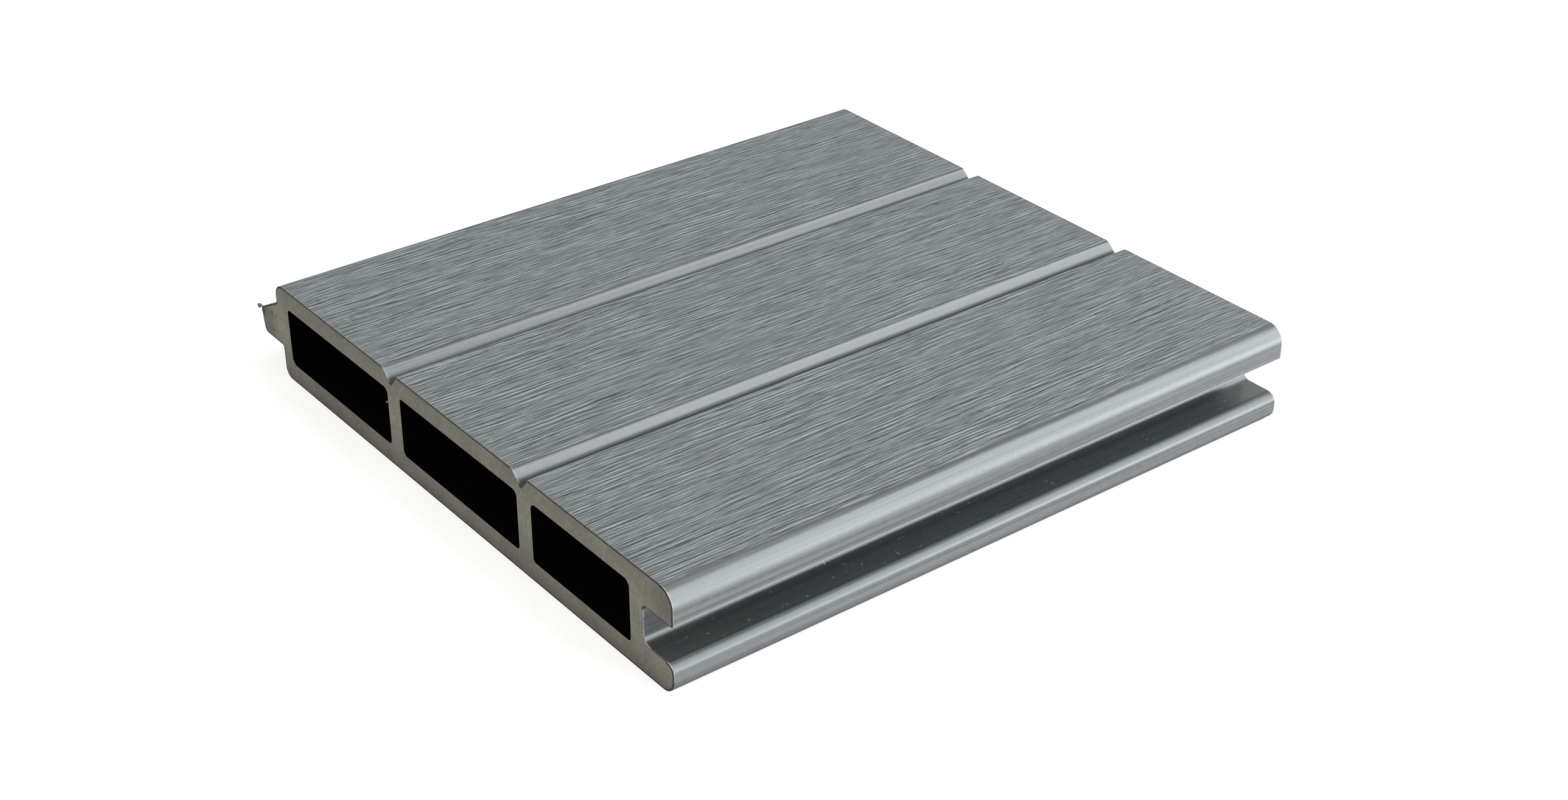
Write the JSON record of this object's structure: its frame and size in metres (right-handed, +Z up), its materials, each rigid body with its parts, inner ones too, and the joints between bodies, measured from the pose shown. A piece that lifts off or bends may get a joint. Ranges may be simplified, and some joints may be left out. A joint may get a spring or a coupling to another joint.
{
  "type": "composite fence board",
  "caption": "Short sawn length of hollow composite fence board with a brushed grain face divided by V lines, a sloped tongue on one edge and a matching groove on the other.",
  "frame": {"origin": "on the back face, under the middle of the board's bounding box", "axes": "+X along the board from one sawn end to the other, +Y across it from the grooved edge to the tongue, +Z up from the back face to the front face"},
  "size_m": [0.15, 0.148, 0.0215],
  "materials": {
    "grey_composite": "grey wood-plastic composite: brushed wood-grain faces, smooth satin edges, sawn ends"
  },
  "bodies": {
    "root": {"fence_board": "grey_composite"}
  },
  "joints": []
}
